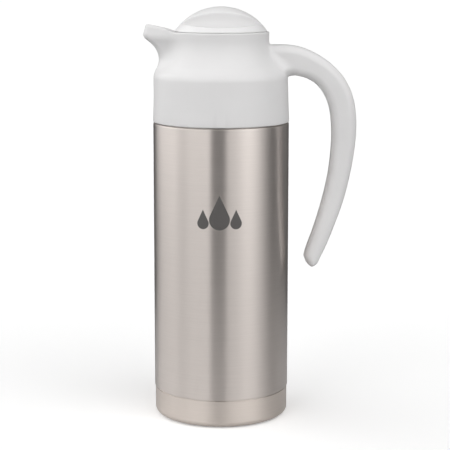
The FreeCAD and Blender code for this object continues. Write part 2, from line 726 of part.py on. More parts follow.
def make_stopper_body():
    bore = plug_thread_r - plug_wall
    low_bore = groove_r - plug_wall
    body = new_body("stopper_body")
    revolve(body, [
        (plug_r, plug_low), (plug_r, seal_low), (groove_r, seal_low), (groove_r, seal_high),
        (plug_r, seal_high), (plug_r, plug_waist), (plug_thread_r, plug_thread_z),
        (plug_thread_r, plug_flange_z), (plug_flange_r, plug_flange_z),
        (plug_flange_r, plug_top), (bore, plug_top), (bore, plug_thread_z + plug_wall),
        (low_bore, plug_waist + plug_wall), (low_bore, plug_low)])
    ridge = thread_ridge(
        body, plug_thread_r - 0.5, plug_ridge_r, PLUG_RIDGE_START, PLUG_RIDGE_SWEEP)
    polar(body, ridge, RIDGES)
    return body


def make_stopper_base():
    """Disc with a spigot that snaps into the lower end of the stopper body."""
    bore = groove_r - plug_wall
    spigot = bore - plug_wall
    floor = plug_low - plug_floor + plug_wall
    return turned_part("stopper_base", [
        (0, plug_low - plug_floor), (plug_r, plug_low - plug_floor, 1.5), (plug_r, plug_low),
        (bore, plug_low), (bore, plug_low + plug_floor), (spigot, plug_low + plug_floor),
        (spigot, floor), (0, floor)])


def make_stopper_insulation():
    radius = groove_r - plug_wall - play * 4
    low, high = plug_low + plug_floor + play * 4, spigot_low - 2
    return turned_part("stopper_insulation", [
        (0, low), (radius, low, 1), (radius, high, 2), (0, high)])


def make_main_seal():
    """Silicone ring with two lips that bear on the neck's bore."""
    inner = groove_r + play
    outer = plug_r - play * 4
    low = seal_low + play
    high = seal_high - play
    lip = bore_r - play
    return turned_part("main_seal", [
        (inner, low), (outer, low), (lip, low + seal_lip, 0.3), (outer, low + seal_lip * 2),
        (outer, high - seal_lip * 2), (lip, high - seal_lip, 0.3), (outer, high),
        (inner, high)])


def make_upper_seal():
    outer = throat_r - collar_wall - play * 2
    root = outer - seal_lip * 1.5
    middle = (upper_seal_z + plug_flange_z) / 2
    return turned_part("upper_seal", [
        (plug_thread_r, upper_seal_z), (root, upper_seal_z), (outer, middle, 0.4),
        (root, plug_flange_z), (plug_thread_r, plug_flange_z)])


def block(name, width, low_y, low_z):
    """Box across the whole stopper, from low_y and low_z up."""
    part = doc.addObject("Part::Box", name)
    part.Length = dome_r.value * 2 + CLEAR
    part.Width = width
    part.Height = dome_r.value + CLEAR
    part.Placement = FreeCAD.Placement(
        Vector(-part.Length.Value / 2, low_y, low_z), FreeCAD.Rotation())
    return part


def dome(name, radius):
    """Spherical cap standing on the plane of the stopper body's flange."""
    ball = doc.addObject("Part::Sphere", f"{name}_ball")
    ball.setExpression("Radius", sized(radius).formula)
    ball.Placement = FreeCAD.Placement(Vector(0, 0, dome_z.value), FreeCAD.Rotation())
    width = dome_r.value * 2 + CLEAR
    part = doc.addObject("Part::Common", name)
    part.Base = ball
    part.Tool = block(f"{name}_slab", width, -width / 2, plug_top.value)
    return part


def make_scoops(name, floor, inset):
    """The two finger recesses: outside both grip cylinders, above the scoop floor."""
    centre = grip_half.value - grip_r.value
    width = grip_r.value + CLEAR
    scoops = []
    for number, side in enumerate((-1, 1)):
        low_y = centre if side > 0 else -centre - width
        scoop = doc.addObject("Part::Cut", f"{name}_{number}")
        scoop.Base = block(f"{name}_block_{number}", width, low_y, floor)
        scoop.Tool = cylinder(f"{name}_grip_{number}", grip_r - inset, floor - CLEAR,
                              dome_r.value + CLEAR * 3, y=side * centre)
        scoops.append(scoop)
    return scoops


def make_stopper_cap():
    """Domed shell with two finger recesses and a spigot that plugs into the stopper body."""
    skin = doc.addObject("Part::Cut", "cap_skin")
    skin.Base = dome("cap_dome", dome_r)
    tools = doc.addObject("Part::MultiFuse", "cap_scoops")
    tools.Shapes = make_scoops("scoop", scoop_z.value, 0.0)
    skin.Tool = tools
    hollow = doc.addObject("Part::Cut", "cap_hollow")
    hollow.Base = dome("cap_inside", dome_r - cap_wall)
    inset = doc.addObject("Part::MultiFuse", "cap_inner_scoops")
    inset.Shapes = make_scoops("inner_scoop", scoop_z.value - cap_wall.value, cap_wall)
    hollow.Tool = inset
    shell = doc.addObject("Part::Cut", "cap_shell")
    shell.Base = skin
    shell.Tool = hollow
    outer = plug_thread_r - plug_wall - play * 2
    inner = outer - plug_wall
    spigot = turned_part("cap_spigot", [
        (inner, spigot_low), (outer, spigot_low), (outer, spigot_high), (inner, spigot_high)])
    cap = doc.addObject("Part::MultiFuse", "stopper_cap")
    cap.Shapes = [shell, spigot]
    return cap


# ---------------------------------------------------------------- assembly and export

handle_channel = make_handle_channel()
PARTS = [
    make_base_pad(), make_base_cup(), make_outer_shell(), make_inner_liner(),
    make_liner_bottom(), make_vacuum_bottom(), make_vacuum_seal(), make_radiation_foil(),
    make_getter_pellet(), make_getter_clip(), make_retaining_ring(), make_neck_gasket(),
    make_shoulder_collar(handle_channel), make_handle_cover(handle_channel),
    make_stopper_body(), make_stopper_base(), make_stopper_insulation(), make_main_seal(),
    make_upper_seal(), make_stopper_cap(),
]

doc.recompute()

for item in doc.Objects:
    if "Invalid" in item.State or "Error" in item.State:
        raise RuntimeError(f"{item.Label} did not compute: {item.State}")

os.makedirs("parts", exist_ok=True)
for part in PARTS:
    shape = part.Shape
    if shape.isNull() or not shape.isValid():
        raise RuntimeError(f"{part.Label} has a bad shape")
    print(f"{part.Label}: {len(shape.Solids)} solid(s), {shape.Volume:.0f} mm3")
    shape.exportStep(f"parts/{part.Label}.step")
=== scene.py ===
import math

import bpy
import numpy as np
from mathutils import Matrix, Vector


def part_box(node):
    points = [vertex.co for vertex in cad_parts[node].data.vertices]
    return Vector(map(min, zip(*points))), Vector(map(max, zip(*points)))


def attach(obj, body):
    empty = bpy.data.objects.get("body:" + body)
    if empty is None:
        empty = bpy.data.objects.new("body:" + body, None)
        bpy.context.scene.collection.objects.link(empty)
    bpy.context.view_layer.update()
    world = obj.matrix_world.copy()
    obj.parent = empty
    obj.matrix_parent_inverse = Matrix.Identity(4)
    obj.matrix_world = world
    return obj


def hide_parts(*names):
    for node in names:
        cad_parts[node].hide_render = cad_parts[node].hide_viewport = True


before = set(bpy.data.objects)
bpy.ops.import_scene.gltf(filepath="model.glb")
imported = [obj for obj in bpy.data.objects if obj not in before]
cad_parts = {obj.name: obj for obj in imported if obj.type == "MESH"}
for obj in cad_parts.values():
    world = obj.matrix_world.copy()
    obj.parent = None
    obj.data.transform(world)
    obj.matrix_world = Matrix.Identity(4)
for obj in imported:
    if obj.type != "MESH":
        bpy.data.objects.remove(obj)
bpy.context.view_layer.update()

# Vacuum-insulated pouring carafe.  Blender works in metres; the shape fields below work in
# millimetres, on the vessel's axis, with the spout towards -X and the handle towards +X.

MM = 0.001

# Driving sizes, from the frame: the shell's radius and ends, and the top of the cap.
shell_low, shell_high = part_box("outer_shell")
BODY_R, SHELL_LOW, SHELL_TOP = shell_high[0] / MM, shell_low[2] / MM, shell_high[2] / MM
CAP_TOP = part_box("stopper_cap")[1][2] / MM


# ---------------------------------------------------------------- distance fields

class Outline:
    """Signed distance to a closed flat outline, looked up in a fine table of samples."""

    def __init__(self, points, pitch=0.2, margin=14.0):
        points = np.asarray(points, float)
        self.pitch = pitch
        self.low = points.min(0) - margin
        count = np.ceil((points.max(0) + margin - self.low) / pitch).astype(int) + 1
        u = self.low[0] + pitch * np.arange(count[0])[:, None]
        v = self.low[1] + pitch * np.arange(count[1])[None, :]
        nearest = np.full((count[0], count[1]), 1e9)
        inside = np.zeros((count[0], count[1]), bool)
        for (ax, ay), (bx, by) in zip(points, np.roll(points, -1, axis=0)):
            ex, ey = bx - ax, by - ay
            share = ((u - ax) * ex + (v - ay) * ey) / (ex * ex + ey * ey)
            share = np.clip(share, 0, 1)
            gap = (u - ax - share * ex) ** 2 + (v - ay - share * ey) ** 2
            np.minimum(nearest, gap, out=nearest)
            if ay != by:
                crosses = (ay > v) != (by > v)
                inside ^= crosses & (u < ax + (v - ay) * ex / ey)
        self.table = np.where(inside, -1.0, 1.0) * np.sqrt(nearest)

    def __call__(self, u, v):
        u, v = np.broadcast_arrays(u, v)
        fu = np.clip((u - self.low[0]) / self.pitch, 0, self.table.shape[0] - 1.001)
        fv = np.clip((v - self.low[1]) / self.pitch, 0, self.table.shape[1] - 1.001)
        iu, iv = fu.astype(int), fv.astype(int)
        fu, fv = fu - iu, fv - iv
        t = self.table
        return ((t[iu, iv] * (1 - fu) + t[iu + 1, iv] * fu) * (1 - fv)
                + (t[iu, iv + 1] * (1 - fu) + t[iu + 1, iv + 1] * fu) * fv)


def rounded_outline(corners, step=0.6):
    """Points round a closed outline of (x, y, corner radius), its corners as arcs."""
    corners = [np.array(c, float) for c in corners]
    points = []
    for i, corner in enumerate(corners):
        here, radius = corner[:2], corner[2]
        if radius == 0:
            points.append(here)
            continue
        back = corners[i - 1][:2] - here
        ahead = corners[(i + 1) % len(corners)][:2] - here
        back, ahead = back / np.linalg.norm(back), ahead / np.linalg.norm(ahead)
        half = math.acos(np.clip(back @ ahead, -1, 1)) / 2
        inward = (back + ahead) / np.linalg.norm(back + ahead)
        centre = here + inward * radius / math.sin(half)
        first = here + back * radius / math.tan(half) - centre
        last = here + ahead * radius / math.tan(half) - centre
        sweep = math.pi - 2 * half
        count = max(int(radius * sweep / step), 3)
        for share in np.linspace(0, 1, count + 1):
            blend = (math.sin((1 - share) * sweep) * first + math.sin(share * sweep) * last)
            points.append(centre + blend / math.sin(sweep))
    return points


def spline(points, per_span=10):
    """Smooth curve through points (centripetal Catmull-Rom)."""
    p = [np.array(q, float) for q in points]
    p = [2 * p[0] - p[1]] + p + [2 * p[-1] - p[-2]]
    out = []
    for i in range(1, len(p) - 2):
        knots = [0.0]
        for a, b in zip(p[i - 1:i + 2], p[i:i + 3]):
            knots.append(knots[-1] + math.sqrt(np.linalg.norm(b - a)))
        t0, t1, t2, t3 = knots
        for t in np.linspace(t1, t2, per_span, endpoint=False):
            a1 = (t1 - t) / (t1 - t0) * p[i - 1] + (t - t0) / (t1 - t0) * p[i]
            a2 = (t2 - t) / (t2 - t1) * p[i] + (t - t1) / (t2 - t1) * p[i + 1]
            a3 = (t3 - t) / (t3 - t2) * p[i + 1] + (t - t2) / (t3 - t2) * p[i + 2]
            b1 = (t2 - t) / (t2 - t0) * a1 + (t - t0) / (t2 - t0) * a2
            b2 = (t3 - t) / (t3 - t1) * a2 + (t - t1) / (t3 - t1) * a3
            out.append((t2 - t) / (t2 - t1) * b1 + (t - t1) / (t2 - t1) * b2)
    out.append(p[-2])
    return out


def soft_min(a, b, reach):
    """Union of two fields with a fillet of about reach."""
    share = np.clip(0.5 + 0.5 * (b - a) / reach, 0, 1)
    return b + (a - b) * share - reach * share * (1 - share)


def soft_max(a, b, reach):
    return -soft_min(-a, -b, reach)


def round_both(a, b, radius):
    """Where both fields are inside, with an edge of the given radius."""
    a, b = a + radius, b + radius
    outside = np.sqrt(np.maximum(a, 0) ** 2 + np.maximum(b, 0) ** 2)
    return np.minimum(np.maximum(a, b), 0) + outside - radius


def smoothstep(low, high, value):
    share = np.clip((value - low) / (high - low), 0, 1)
    return share * share * (3 - 2 * share)


def bent_line(points, place):
    """Height at a place on a line bent at (place, height) points."""
    return np.interp(place, *zip(*points))


# ---------------------------------------------------------------- meshes

def field_mesh(name, field, low, high, step):
    """Closed mesh of the surface where field is zero (surface nets, then moved onto it)."""
    low, high = np.array(low, float), np.array(high, float)
    counts = np.ceil((high - low) / step).astype(int) + 1
    axes = [low[i] + step * np.arange(counts[i]) for i in range(3)]
    grid = field(axes[0][:, None, None], axes[1][None, :, None], axes[2][None, None, :])
    grid = np.broadcast_to(grid, tuple(counts)).astype(np.float32)
    inside = grid < 0
    some = np.zeros(tuple(counts - 1), bool)
    every = np.ones(tuple(counts - 1), bool)
    corners = [(i, j, k) for i in (0, 1) for j in (0, 1) for k in (0, 1)]
    for i, j, k in corners:
        part = inside[i:counts[0] - 1 + i, j:counts[1] - 1 + j, k:counts[2] - 1 + k]
        some |= part
        every &= part
    cells = np.argwhere(some & ~every)
    index = np.full(tuple(counts - 1), -1, np.int64)
    index[tuple(cells.T)] = np.arange(len(cells))
    values = np.stack([grid[cells[:, 0] + i, cells[:, 1] + j, cells[:, 2] + k]
                       for i, j, k in corners], 1)
    total = np.zeros((len(cells), 3))
    hits = np.zeros(len(cells))
    for a in range(8):
        for b in range(a + 1, 8):
            ca, cb = np.array(corners[a]), np.array(corners[b])
            if np.abs(ca - cb).sum() != 1:
                continue
            va, vb = values[:, a], values[:, b]
            cut = (va < 0) != (vb < 0)
            share = np.where(cut, va / np.where(cut, va - vb, 1), 0)[:, None]
            total += np.where(cut[:, None], ca + share * (cb - ca), 0)
            hits += cut
    points = low + step * (cells + total / hits[:, None])
    points = settle(points, field, step)

    quads = []
    for axis in range(3):
        u, v = (axis + 1) % 3, (axis + 2) % 3
        near = [slice(1, -1)] * 3
        far = [slice(1, -1)] * 3
        near[axis] = slice(0, -1)
        far[axis] = slice(1, None)
        a, b = inside[tuple(near)], inside[tuple(far)]
        for out_to_in, found in ((False, a & ~b), (True, ~a & b)):
            spot = np.argwhere(found)
            spot[:, u] += 1
            spot[:, v] += 1
            ring = []
            for du, dv in ((1, 1), (0, 1), (0, 0), (1, 0)):
                cell = spot.copy()
                cell[:, u] -= du
                cell[:, v] -= dv
                ring.append(index[tuple(cell.T)])
            quad = np.stack(ring, 1)
            quads.append(quad[:, ::-1] if out_to_in else quad)
    quads = np.concatenate(quads)
    mesh = bpy.data.meshes.new(name)
    mesh.from_pydata((points * MM).tolist(), [], quads.tolist())
    mesh.validate()
    mesh.update()
    piece = bpy.data.objects.new(name, mesh)
    bpy.context.scene.collection.objects.link(piece)
    mesh.polygons.foreach_set("use_smooth", [True] * len(mesh.polygons))
    return piece


def settle(points, field, step, rounds=3):
    """Move points onto the zero surface along the field's slope."""
    reach, furthest, least_slope = 0.25 * step, 0.4 * step, 0.2
    for _ in range(rounds):
        value = field(points[:, 0], points[:, 1], points[:, 2])
        slope = np.stack([
            field(*(points + reach * side).T) - field(*(points - reach * side).T)
            for side in np.eye(3)], 1) / (2 * reach)
        size = np.maximum((slope ** 2).sum(1), least_slope)
        move = -slope * (value / size)[:, None]
        points = points + np.clip(move, -furthest, furthest)
    return points


def thin_out(piece, faces):
    """Merge the smallest faces until no more than this many triangles are left."""
    now = len(piece.data.polygons) * 2
    if now <= faces:
        return
    fewer = piece.modifiers.new("fewer", "DECIMATE")
    fewer.ratio = faces / now
    fewer.use_collapse_triangulate = True
    bpy.context.view_layer.update()
    result = bpy.data.meshes.new_from_object(
        piece.evaluated_get(bpy.context.evaluated_depsgraph_get()))
    piece.modifiers.remove(fewer)
    piece.data = result
    result.polygons.foreach_set("use_smooth", [True] * len(result.polygons))


# ---------------------------------------------------------------- collar, beak and handle

# Outside and hollow of the collar as (radius, height, corner radius). Both run on past the
# rim, where trim_rim cuts them off; the flange is the ledge that holds the neck gasket.
SKIRT_LOW, RIM, ABOVE_RIM = 229.75, 298.5, 330
THROAT_R, BORE_R = 36.8, 34.5
FLANGE_R, FLANGE_LOW, FLANGE_TOP = 31.8, 283.8, 286.0
COLLAR_SIDE = ((0, SKIRT_LOW, 0), (BODY_R + 0.2, SKIRT_LOW, 0.7), (51.05, 266.2, 9),
               (THROAT_R, 280.8, 30), (THROAT_R, ABOVE_RIM, 0), (0, ABOVE_RIM, 0))
COLLAR_HOLLOW = ((0, 215, 0), (50.15, 215, 0), (50.15, 245, 2), (49.0, 265.1, 6),
                 (BORE_R, 280.0, 8), (BORE_R, FLANGE_LOW, 0), (FLANGE_R, FLANGE_LOW, 0.3),
                 (FLANGE_R, FLANGE_TOP, 0.3), (BORE_R, FLANGE_TOP, 0), (BORE_R, 320, 0),
                 (0, 320, 0))
RIM_EDGE, HOLLOW_EDGE = 1.0, 0.6

# Height, how far the beak reaches from the axis there, and its nose radius in plan.
BEAK = ((250.0, 46.0, 12.0), (258.0, 48.0, 12.0), (266.0, 48.6, 12.0), (273.0, 47.6, 11.5),
        (279.0, 47.8, 10.8), (285.0, 49.9, 10.0), (290.0, 54.1, 9.0), (293.2, 58.2, 8.2),
        (295.9, 59.7, 7.6), (299.2, 58.9, 7.3), (304.1, 57.8, 7.0), (312.0, 56.6, 6.8))
BEAK_ROOT_R = 27.0
BEAK_WALL = 1.9
BEAK_BLEND = 7.0

# The free edge sweeps up along the beak: distance from the axis, rise above the rim. Between
# two distances its rounding grows by BEAK_EDGE_MORE, for which it starts a little higher.
BEAK_SWEEP = ((36.0, 0.0), (40.8, 1.9), (47.8, 3.8), (53.0, 5.1), (56.0, 5.6), (60.0, 5.7))
BEAK_EDGE_MORE, BEAK_EDGE_RANGE, BEAK_EDGE_LIFT = 1.8, (40.0, 50.0), 0.3

# The trough's floor: distance from the axis, height. Then the fillet at its sides and the
# rounding of its edge.
TROUGH_FLOOR = ((30.0, 286.0), (36.8, 286.6), (59.0, 297.0), (62.0, 297.4))
TROUGH_FILLET, TROUGH_EDGE = 2.5, 0.8

# The window from the neck to the trough: half width, heights, and from where to where.
WINDOW_HALF, WINDOW_LOW, WINDOW_TOP = 12.5, FLANGE_TOP, 293.3
WINDOW_FROM_R, WINDOW_FROM_X, WINDOW_TO_X = 30.0, -20.0, -38.5

# The handle from the side, as (x, height): outer curve from the root to the tip, inner curve
# back up from the tip, the tip between them, and the root inside the collar.
HANDLE_OUTER = ((34.0, 288.5), (52.0, 288.3), (62.0, 286.4), (73.0, 281.6), (84.0, 274.3),
                (94.4, 263.2), (101.1, 249.0), (104.0, 229.0), (101.9, 201.5), (95.0, 169.0),
                (85.8, 142.8), (81.0, 131.0), (77.2, 123.0))
HANDLE_INNER = ((64.4, 124.5), (66.1, 131.0), (70.4, 142.9), (78.0, 168.2), (83.2, 193.6),
                (85.0, 222.0), (82.2, 243.3), (74.6, 256.6), (65.6, 262.9), (56.8, 265.2))
HANDLE_TIP = ((75.2, 118.6), (70.9, 115.8), (66.3, 119.6))
HANDLE_ROOT = ((46.0, 264.0), (34.0, 270.0))

# Half its width at the tip, what the root has more, the heights between which it widens, and
# the rounding of its edges.
HANDLE_HALF, HANDLE_HALF_MORE, HANDLE_WIDENS = 8.6, 1.6, (150.0, 285.0)
HANDLE_EDGE = 6.5

# The fillet at its root swells towards the underside: least, how much more, and the heights
# between which it rises and falls again.
HANDLE_BLEND, HANDLE_BLEND_MORE = 2.2, 6.5
BLEND_RISES, BLEND_FALLS = (264.0, 272.0), (276.0, 287.0)

# Strip let into the handle's inner side: half width, depth, ends, corner and edge rounding,
# where it stays clear of the collar's skirt, and the hairline round it.
COVER_HALF, COVER_DEPTH, COVER_LOW, COVER_HIGH = 5.4, 2.4, 131.5, 254.0
COVER_CORNER, COVER_EDGE = 2.5, 0.3
COVER_FROM_X, COVER_GAP = 58.0, 0.12

# Three ridges inside the collar's neck: rise in one turn, degrees and height where the first
# starts, and how far each runs.
LEAD, RIDGES = 12.0, 3
RIDGE_START, RIDGE_Z, RIDGE_SWEEP = 210.0, 287.1, 150.0
# Crest radius, half thickness and flank slope, how far it is let into the wall, and its edge
# and fillet.
RIDGE_CREST_R, RIDGE_ROOT_HALF, RIDGE_SLANT, RIDGE_BITE = 32.2, 0.78, 0.13, 1.0
RIDGE_EDGE, RIDGE_FILLET = 0.3, 0.4


def handle_outline():
    """The handle from the side: outer curve, tip, inner curve, and its root in the collar."""
    tip = spline((HANDLE_OUTER[-1],) + HANDLE_TIP + (HANDLE_INNER[0],))
    root = [np.array(point) for point in HANDLE_ROOT]
    return spline(HANDLE_OUTER) + tip[1:-1] + spline(HANDLE_INNER) + root


side_field = Outline(rounded_outline(COLLAR_SIDE))
hollow_field = Outline(rounded_outline(COLLAR_HOLLOW))
handle_side_field = Outline(handle_outline(), pitch=0.25)
beak_track = np.array(spline(BEAK))
inner_track = np.array(spline(HANDLE_INNER))


def beak_field(x, y, z, inset):
    """Plan section between a circle at the throat and a circle at the nose."""
    reach = np.interp(z, beak_track[:, 0], beak_track[:, 1]) - inset
    nose = np.interp(z, beak_track[:, 0], beak_track[:, 2]) - inset
    root = BEAK_ROOT_R - inset
    length = reach - nose
    lean = (root - nose) / length
    stand = np.sqrt(1 - lean ** 2)
    across, along = np.abs(y), -x
    k = -lean * across + stand * along
    at_root = np.sqrt(across ** 2 + along ** 2) - root
    at_nose = np.sqrt(across ** 2 + (along - length) ** 2) - nose
    between = stand * across + lean * along - root
    return np.where(k < 0, at_root, np.where(k > stand * length, at_nose, between))


def handle_field(x, y, z):
    half = HANDLE_HALF + HANDLE_HALF_MORE * smoothstep(*HANDLE_WIDENS, z)
    return round_both(handle_side_field(x, z), np.abs(y) - half, HANDLE_EDGE)


def cover_region(x, y, z):
    """Where the strip is let into the handle's inner side."""
    inner_x = np.interp(z, inner_track[:, 1], inner_track[:, 0])
    ends_z = np.maximum(COVER_LOW - z, z - COVER_HIGH)
    sides = round_both(np.abs(y) - COVER_HALF, ends_z, COVER_CORNER)
    ends_x = np.maximum(x - inner_x - HANDLE_EDGE, COVER_FROM_X - x)
    return np.maximum(np.maximum(sides, -handle_side_field(x, z) - COVER_DEPTH), ends_x)


def cover_field(x, y, z):
    return round_both(handle_field(x, y, z), cover_region(x, y, z), COVER_EDGE)


def ridge_field(x, y, z, r):
    """The neck's thread ridges, each a helix with a tapered flank."""
    turn = 360.0 / RIDGES
    first = np.mod(np.degrees(np.arctan2(y, x)) - RIDGE_START, turn)
    ridges = np.inf
    for along in (first, first + turn):
        off = np.abs(z - RIDGE_Z - LEAD * along / 360.0)
        flank = off - RIDGE_ROOT_HALF + RIDGE_SLANT * (BORE_R - r)
        end = np.radians(along - RIDGE_SWEEP) * r
        wall = np.maximum(RIDGE_CREST_R - r, r - BORE_R - RIDGE_BITE)
        ridges = np.minimum(ridges, round_both(np.maximum(flank, end), wall, RIDGE_EDGE))
    return ridges


def window_field(x, y, z, r, inside):
    """The opening in the neck's wall, only where it stays inside the beak."""
    sides = np.maximum(np.abs(y) - WINDOW_HALF, np.maximum(WINDOW_LOW - z, z - WINDOW_TOP))
    ends = np.maximum(np.maximum(WINDOW_FROM_R - r, x - WINDOW_FROM_X), WINDOW_TO_X - x)
    return np.maximum(np.maximum(sides, ends), inside)


def trim_rim(body, x, z):
    """Cut the collar off at its free edge: level at the neck, sweeping up along the beak."""
    more = BEAK_EDGE_MORE * smoothstep(*BEAK_EDGE_RANGE, -x)
    top = RIM + bent_line(BEAK_SWEEP, -x)
    return soft_max(body, z - top - BEAK_EDGE_LIFT * more, RIM_EDGE + more)


def collar_field(x, y, z):
    r = np.sqrt(x * x + y * y)
    body = side_field(r, z)
    body = soft_min(body, beak_field(x, y, z, 0.0), BEAK_BLEND)
    swell = smoothstep(*BLEND_RISES, z) * (1 - smoothstep(*BLEND_FALLS, z))
    body = soft_min(body, handle_field(x, y, z), HANDLE_BLEND + HANDLE_BLEND_MORE * swell)
    inside = beak_field(x, y, z, BEAK_WALL)
    floor = bent_line(TROUGH_FLOOR, -x) - z
    trough = np.maximum(round_both(inside, floor, TROUGH_FILLET), THROAT_R - r)
    body = soft_max(body, -trough, TROUGH_EDGE)
    body = trim_rim(body, x, z)
    body = np.maximum(body, -window_field(x, y, z, r, inside))
    body = soft_max(body, -hollow_field(r, z), HOLLOW_EDGE)
    body = np.maximum(body, COVER_GAP - cover_region(x, y, z))
    return soft_min(body, ridge_field(x, y, z, r), RIDGE_FILLET)


# ---------------------------------------------------------------- stopper cap

# Part of a ball, cut off round and below, with the roundings of those two edges.
DOME_R, CAP_LOW, CAP_R = 43.0, 298.75, 35.3
DOME_Z = CAP_TOP - DOME_R
CAP_EDGE, CAP_LOW_EDGE = 0.4, 0.3

# The grip stands between two recesses: plan radius of its sides, half its width, and the
# roundings at the recess's foot and edge.
GRIP_R, GRIP_HALF = 45.0, 17.8
SCOOP_FILLET, SCOOP_EDGE = 0.6, 0.6
# The recess's floor: its height at the lip's middle, how much it rises towards the ends, and
# how it falls inwards from the lip.
SCOOP_LIP, SCOOP_RISE, SCOOP_RISE_AT = 302.2, 3.8, 26.0
SCOOP_LIP_Y, SCOOP_FALL = 32.0, 0.13
# The grip's sides are undercut: how far in at the given depth below the top edge. It grows
# with the depth's square, up to so many times that depth.
UNDERCUT, UNDERCUT_TOP, UNDERCUT_DEPTH, UNDERCUT_MOST = 2.8, 313.6, 11.0, 1.3


def cap_field(x, y, z):
    r = np.sqrt(x * x + y * y)
    dome = np.sqrt(r * r + (z - DOME_Z) ** 2) - DOME_R
    cap = round_both(dome, r - CAP_R, CAP_EDGE)
    cap = round_both(cap, CAP_LOW - z, CAP_LOW_EDGE)
    across = np.abs(y)
    depths = np.clip((UNDERCUT_TOP - z) / UNDERCUT_DEPTH, 0, UNDERCUT_MOST)
    undercut = UNDERCUT * depths ** 2
    wall = GRIP_R - undercut - np.sqrt(x * x + (across + GRIP_R - GRIP_HALF) ** 2)
    floor = (SCOOP_LIP + SCOOP_RISE * (x / SCOOP_RISE_AT) ** 2
             - SCOOP_FALL * (SCOOP_LIP_Y - across))
    scoop = round_both(wall, floor - z, SCOOP_FILLET)
    return soft_max(cap, -scoop, SCOOP_EDGE)


# ---------------------------------------------------------------- material helpers

# A noise's values lie mostly between these.
NOISE_LOW, NOISE_HIGH = 0.3, 0.7


class Nodes:
    """Short way to lay down shader nodes."""

    def __init__(self, tree):
        self.tree = tree

    def add(self, kind, **settings):
        node = self.tree.nodes.new(kind)
        for key, value in settings.items():
            setattr(node, key, value)
        return node

    def join(self, source, target):
        self.tree.links.new(source, target)

    def put(self, target, value):
        if isinstance(value, bpy.types.NodeSocket):
            self.join(value, target)
        else:
            target.default_value = value

    def calc(self, operation, first, second=0.0, third=0.0):
        node = self.add("ShaderNodeMath", operation=operation)
        for socket, value in zip(node.inputs, (first, second, third)):
            self.put(socket, value)
        return node.outputs[0]

    def place(self):
        return self.add("ShaderNodeTexCoord").outputs["Object"]

    def split(self, vector):
        node = self.add("ShaderNodeSeparateXYZ")
        self.join(vector, node.inputs[0])
        return node.outputs

    def stretched(self, vector, scale):
        node = self.add("ShaderNodeMapping")
        node.inputs["Scale"].default_value = scale
        self.join(vector, node.inputs["Vector"])
        return node.outputs[0]

    def noise(self, vector, scale, detail=2.0, roughness=0.5):
        """Noise with so many features in a metre."""
        node = self.add("ShaderNodeTexNoise")
        self.join(vector, node.inputs["Vector"])
        node.inputs["Scale"].default_value = scale
        node.inputs["Detail"].default_value = detail
        node.inputs["Roughness"].default_value = roughness
        return node.outputs["Fac"]

    def mix(self, share, first, second):
        node = self.add("ShaderNodeMix", data_type="RGBA")
        self.put(node.inputs[0], share)
        self.put(node.inputs[6], first)
        self.put(node.inputs[7], second)
        return node.outputs[2]

    def spread(self, value, low, high, out_low, out_high, curve="LINEAR"):
        node = self.add("ShaderNodeMapRange", interpolation_type=curve)
        for socket, number in zip(node.inputs, (value, low, high, out_low, out_high)):
            self.put(socket, number)
        return node.outputs[0]

    def between(self, value, low, low_soft, high, high_soft):
        """1 where value lies from low to high, falling to 0 round each end."""
        up = self.spread(value, low - low_soft, low + low_soft, 0.0, 1.0, "SMOOTHSTEP")
        down = self.spread(value, high - high_soft, high + high_soft, 1.0, 0.0, "SMOOTHSTEP")
        return self.calc("MULTIPLY", up, down)


class Finish(Nodes):
    """Nodes of a new material with one Principled shader."""

    def __init__(self, name):
        self.material = bpy.data.materials.new(name)
        self.material.use_nodes = True
        super().__init__(self.material.node_tree)
        self.shader = self.tree.nodes["Principled BSDF"]

    def set(self, **values):
        """Plain values of the shader, with _ for the spaces in their names."""
        for name, value in values.items():
            self.shader.inputs[name.replace("_", " ")].default_value = value

    def tint(self, noise, colour, dark, light=1.0):
        """Base colour that drifts with a noise between a darker and a lighter shade."""
        shades = [(*(min(c * share, 1.0) for c in colour), 1) for share in (dark, light)]
        drift = self.spread(noise, NOISE_LOW, NOISE_HIGH, 0.0, 1.0)
        self.put(self.shader.inputs["Base Color"], self.mix(drift, *shades))

    def roughen(self, noise, smooth, rough):
        """Roughness that drifts with a noise."""
        drift = self.spread(noise, NOISE_LOW, NOISE_HIGH, smooth, rough)
        self.put(self.shader.inputs["Roughness"], drift)

    def bump(self, height, strength, distance):
        node = self.add("ShaderNodeBump")
        self.join(height, node.inputs["Height"])
        node.inputs["Strength"].default_value = strength
        node.inputs["Distance"].default_value = distance
        self.join(node.outputs[0], self.shader.inputs["Normal"])


def plastic(name, colour, rough):
    """Moulded plastic: a very fine spark-eroded skin and faint clouding of its colour."""
    n = Finish(name)
    here = n.place()
    n.tint(n.noise(here, 45.0, 3.0), colour, 0.975)
    grain = n.noise(here, 2600.0, 2.0, 0.6)
    n.roughen(grain, rough - 0.04, rough + 0.05)
    n.set(IOR=1.49)
    n.bump(grain, 0.12, 0.00005)
    return n.material


# Printed mark on the front of the body: three falling drops, in metres round the shell and
# up the axis from the mark's middle: across, up, radius of the round end, height of the tip.
DROPS = ((-0.0125, -0.0062, 0.0044, 0.0104), (0.0, -0.0035, 0.0078, 0.0185),
         (0.0125, -0.0062, 0.0044, 0.0104))
MARK_X, MARK_Z = -0.0012, 0.1648
MARK_SOFT = 0.00012
INK_SHARE = 0.94
INK = (("Base Color", (0.055, 0.053, 0.052, 1)), ("Metallic", 0.0), ("Roughness", 0.55),
       ("Anisotropic", 0.0))


